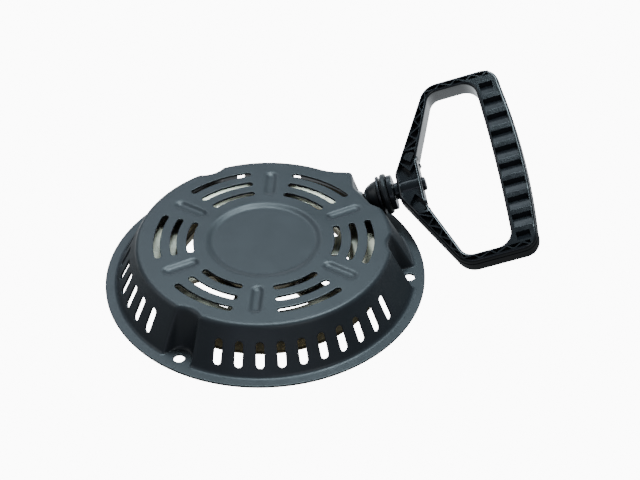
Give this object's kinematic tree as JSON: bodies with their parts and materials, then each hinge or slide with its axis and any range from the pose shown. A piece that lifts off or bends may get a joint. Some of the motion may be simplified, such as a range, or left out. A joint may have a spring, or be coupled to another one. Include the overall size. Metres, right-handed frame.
{
  "type": "recoil starter",
  "caption": "Round pressed-steel recoil starter for a small engine: slotted black cover with three mounting lugs, rope reel with pawls, and a truss-ribbed pull handle.",
  "frame": {"origin": "on the crankshaft axis in the plane of the mounting flange, where the centre screw's head ends", "axes": "+Z along the crankshaft axis out through the cover's top, +X towards one of the three mounting lugs, rope leaving near +X +Y"},
  "size_m": [0.2645, 0.2244, 0.0729],
  "materials": {
    "cover_paint": "satin black paint over pressed steel",
    "zinc_plate": "yellow zinc plating on pressed steel",
    "steel": "bright steel",
    "spring_steel": "blued spring steel",
    "handle_plastic": "semi-gloss moulded black plastic",
    "buffer_rubber": "black rubber",
    "rope_fibre": "braided black rope",
    "bush_brass": "sintered bronze bush"
  },
  "bodies": {
    "cover": {"housing": "cover_paint", "rope_guide": "steel", "centre_post": "steel", "spring_case": "zinc_plate", "recoil_spring": "spring_steel", "centre_screw": "steel", "screw_washer": "steel", "friction_spring": "spring_steel", "rope_lead": "rope_fibre"},
    "reel": {"reel_upper": "zinc_plate", "reel_lower": "zinc_plate", "reel_bush": "bush_brass", "reel_rivet_1": "steel", "reel_rivet_2": "steel", "reel_rivet_3": "steel", "reel_rivet_4": "steel", "rope_coil": "rope_fibre", "rope_knot_reel": "rope_fibre", "pawl_pin_1": "steel", "pawl_pin_2": "steel", "pawl_spring_1": "spring_steel", "pawl_spring_2": "spring_steel"},
    "pawl_one": {"pawl_1": "steel"},
    "pawl_two": {"pawl_2": "steel"},
    "pawl_guide": {"guide_plate": "zinc_plate"},
    "rope_head": {"rope_end": "rope_fibre", "buffer_cone": "buffer_rubber", "stop_disc": "steel", "buffer_ring": "buffer_rubber", "rope_knot_handle": "rope_fibre"},
    "pull_handle": {"handle": "handle_plastic", "handle_collar": "handle_plastic", "handle_plug": "handle_plastic"}
  },
  "joints": [
    {"name": "reel_spin", "type": "hinge", "parent": "cover", "child": "reel", "pos_m": [0, 0, 0.01215], "axis": [0, 0, -1], "range_deg": [0, 874], "stiffness_Nm_per_rad": 0.045, "springref_deg": -859.44, "deforming": ["rope_coil"]},
    {"name": "rope_pull", "type": "slide", "parent": "cover", "child": "rope_head", "axis": [0.9526, 0.0951, 0.289], "range_m": [0, 0.901]},
    {"name": "handle_twist", "type": "hinge", "parent": "rope_head", "child": "pull_handle", "pos_m": [0.08387, 0.05967, 0.02252], "axis": [0.9526, 0.0951, 0.289], "range_deg": [-180, 180]},
    {"name": "pawl_1_swing", "type": "hinge", "parent": "reel", "child": "pawl_one", "pos_m": [0.012, 0.02079, 0.0088], "axis": [0, 0, -1], "range_deg": [0, 25]},
    {"name": "pawl_2_swing", "type": "hinge", "parent": "reel", "child": "pawl_two", "pos_m": [-0.012, -0.02079, 0.0088], "axis": [0, 0, -1], "range_deg": [0, 25.1]},
    {"name": "guide_turn", "type": "hinge", "parent": "reel", "child": "pawl_guide", "pos_m": [0, 0, 0.0059], "axis": [0, 0, 1], "range_deg": [0, 13.6]}
  ],
  "couplings": [
    {"joint": "rope_pull", "follows": "reel_spin", "m_per_rad": 0.059},
    {"joint": "pawl_2_swing", "follows": "pawl_1_swing", "ratio": 1},
    {"joint": "guide_turn", "follows": "pawl_1_swing", "ratio": 0.54}
  ]
}
